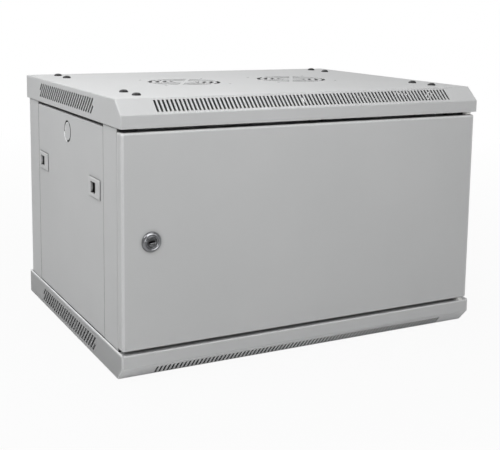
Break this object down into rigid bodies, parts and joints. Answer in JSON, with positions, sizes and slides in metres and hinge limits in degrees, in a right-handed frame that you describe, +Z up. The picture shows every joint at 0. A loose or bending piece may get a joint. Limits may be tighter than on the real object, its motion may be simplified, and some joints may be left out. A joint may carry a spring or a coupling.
{
  "type": "wall mount network cabinet",
  "caption": "Light grey wall mount 19-inch network cabinet with a solid locking door, lift-off side panels, vented roof and base, and two fan positions in the roof",
  "frame": {"origin": "centre of the underside of the base cover, on the plane the cabinet stands on", "axes": "+X to the right seen from the front, +Y to the back (towards the wall), +Z up; the door faces -Y and is hinged at its right side"},
  "size_m": [0.571, 0.4542, 0.3716],
  "materials": {
    "grey_powder_coat": "satin light grey powder coat with a very fine grain",
    "black_zinc": "black zinc plated screws, slightly glossy",
    "bright_zinc": "bright zinc plated steel",
    "chrome": "polished chrome lock",
    "grey_plastic": "light grey moulded plastic",
    "black_rubber": "matt black edging rubber"
  },
  "bodies": {
    "frame": {"roof_cover": "grey_powder_coat", "base_cover": "grey_powder_coat", "roof_screws": "black_zinc", "front_post_left": "grey_powder_coat", "front_post_right": "grey_powder_coat", "rear_post_left": "grey_powder_coat", "rear_post_right": "grey_powder_coat", "corner_plates_left": "grey_powder_coat", "corner_plates_right": "grey_powder_coat", "upper_depth_rail_left": "grey_powder_coat", "upper_depth_rail_right": "grey_powder_coat", "lower_depth_rail_left": "grey_powder_coat", "lower_depth_rail_right": "grey_powder_coat", "rear_panel": "grey_powder_coat", "rear_entry_plate": "grey_powder_coat", "base_entry_edging": "black_rubber", "earth_stud": "bright_zinc", "hinge_bush_top": "grey_plastic", "hinge_bush_bottom": "grey_plastic"},
    "door": {"door_panel": "grey_powder_coat", "door_stiffeners": "grey_powder_coat", "hinge_bracket_top": "grey_powder_coat", "hinge_bracket_bottom": "grey_powder_coat", "hinge_pin_bottom": "bright_zinc", "hinge_spring": "bright_zinc", "lock_housing": "chrome", "lock_nut": "bright_zinc"},
    "lock_barrel": {"lock_barrel": "chrome", "lock_cam": "bright_zinc", "lock_cam_screw": "bright_zinc"},
    "hinge_pin": {"hinge_pin_top": "bright_zinc"},
    "side_panel_left": {"side_panel_left": "grey_powder_coat", "latch_housings_left": "grey_plastic"},
    "latch_left_front": {"latch_slider_left_front": "grey_plastic"},
    "latch_left_rear": {"latch_slider_left_rear": "grey_plastic"},
    "side_panel_right": {"side_panel_right": "grey_powder_coat", "latch_housings_right": "grey_plastic"},
    "latch_right_front": {"latch_slider_right_front": "grey_plastic"},
    "latch_right_rear": {"latch_slider_right_rear": "grey_plastic"},
    "rack_rail_front_left": {"rack_rail_front_left": "bright_zinc", "rail_clamps_front_left": "bright_zinc"},
    "rack_rail_front_right": {"rack_rail_front_right": "bright_zinc", "rail_clamps_front_right": "bright_zinc"},
    "rack_rail_rear_left": {"rack_rail_rear_left": "bright_zinc", "rail_clamps_rear_left": "bright_zinc"},
    "rack_rail_rear_right": {"rack_rail_rear_right": "bright_zinc", "rail_clamps_rear_right": "bright_zinc"}
  },
  "joints": [
    {"name": "door_hinge", "type": "hinge", "parent": "frame", "child": "door", "pos_m": [0.272, -0.217, 0.0365], "axis": [0, 0, 1], "range_deg": [0, 180]},
    {"name": "lock_turn", "type": "hinge", "parent": "door", "child": "lock_barrel", "pos_m": [-0.244, -0.225, 0.18425], "axis": [0, 1, 0], "range_deg": [0, 90]},
    {"name": "hinge_pin_draw", "type": "slide", "parent": "door", "child": "hinge_pin", "axis": [0, 0, -1], "range_m": [0, 0.009], "stiffness_N_per_m": 400, "springref_m": -0.01, "deforming": ["hinge_spring"]},
    {"name": "side_panel_left_tilt", "type": "hinge", "parent": "frame", "child": "side_panel_left", "pos_m": [-0.2835, 0.0035, 0.0385], "axis": [0, -1, 0], "range_deg": [0, 25]},
    {"name": "latch_left_front_slide", "type": "slide", "parent": "side_panel_left", "child": "latch_left_front", "axis": [0, -1, 0], "range_m": [0, 0.007]},
    {"name": "latch_left_rear_slide", "type": "slide", "parent": "side_panel_left", "child": "latch_left_rear", "axis": [0, 1, 0], "range_m": [0, 0.007]},
    {"name": "side_panel_right_tilt", "type": "hinge", "parent": "frame", "child": "side_panel_right", "pos_m": [0.2835, 0.0035, 0.0385], "axis": [0, 1, 0], "range_deg": [0, 25]},
    {"name": "latch_right_front_slide", "type": "slide", "parent": "side_panel_right", "child": "latch_right_front", "axis": [0, -1, 0], "range_m": [0, 0.007]},
    {"name": "latch_right_rear_slide", "type": "slide", "parent": "side_panel_right", "child": "latch_right_rear", "axis": [0, 1, 0], "range_m": [0, 0.007]},
    {"name": "rack_rail_front_left_slide", "type": "slide", "parent": "frame", "child": "rack_rail_front_left", "axis": [0, 1, 0], "range_m": [0, 0.06]},
    {"name": "rack_rail_front_right_slide", "type": "slide", "parent": "frame", "child": "rack_rail_front_right", "axis": [0, 1, 0], "range_m": [0, 0.06]},
    {"name": "rack_rail_rear_left_slide", "type": "slide", "parent": "frame", "child": "rack_rail_rear_left", "axis": [0, -1, 0], "range_m": [0, 0.06]},
    {"name": "rack_rail_rear_right_slide", "type": "slide", "parent": "frame", "child": "rack_rail_rear_right", "axis": [0, -1, 0], "range_m": [0, 0.06]}
  ]
}
